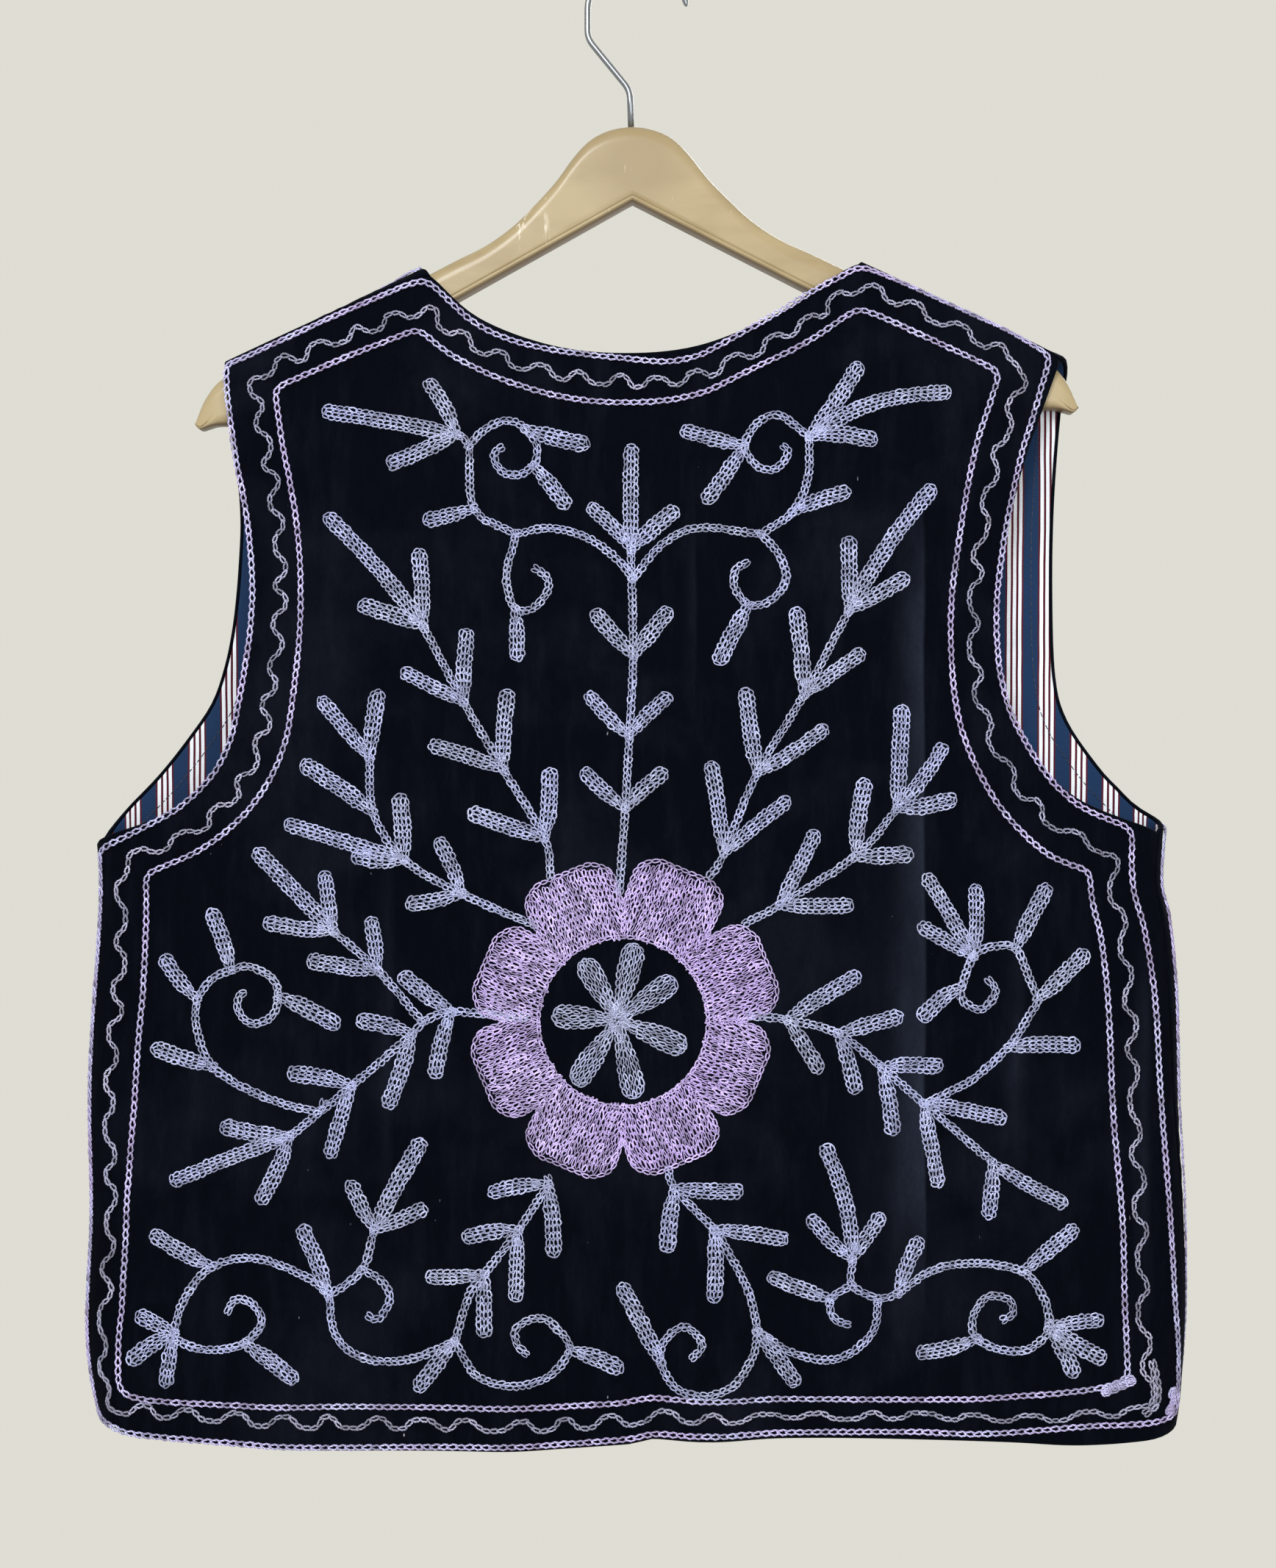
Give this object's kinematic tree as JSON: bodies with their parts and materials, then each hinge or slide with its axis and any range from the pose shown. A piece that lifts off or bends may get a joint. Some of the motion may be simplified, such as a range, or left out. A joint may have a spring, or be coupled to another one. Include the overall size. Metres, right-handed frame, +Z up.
{
  "type": "embroidered folk vest on a hanger",
  "caption": "Sleeveless open-fronted velvet vest with chain-stitch leaf and flower embroidery and a striped lining, hanging flat on a moulded hanger with a wire hook.",
  "frame": {"origin": "inside top of the hook's bow, where it sits on a rail or a wall hook", "axes": "+Z up along the hanging garment; -Y towards the back of the vest, the side with the rosette; +X towards the wearer's right"},
  "size_m": [0.5647, 0.0458, 0.7622],
  "materials": {
    "velvet": "blue-black cotton velvet with a short soft pile",
    "lining": "plain-woven cotton, navy with white and dark red stripes",
    "border_yarn": "pink-lilac embroidery cotton",
    "wave_yarn": "grey-lavender embroidery cotton",
    "leaf_yarn": "blue-lavender embroidery cotton",
    "rosette_yarn": "violet embroidery cotton",
    "hanger_moulding": "glossy tan moulding with light scuffs",
    "hook_wire": "bright drawn steel wire"
  },
  "bodies": {
    "root": {"back_velvet": "velvet", "back_lining": "lining", "front_left_velvet": "velvet", "front_left_lining": "lining", "front_right_velvet": "velvet", "front_right_lining": "lining", "hanger_body": "hanger_moulding", "hanger_hook": "hook_wire"}
  },
  "joints": []
}
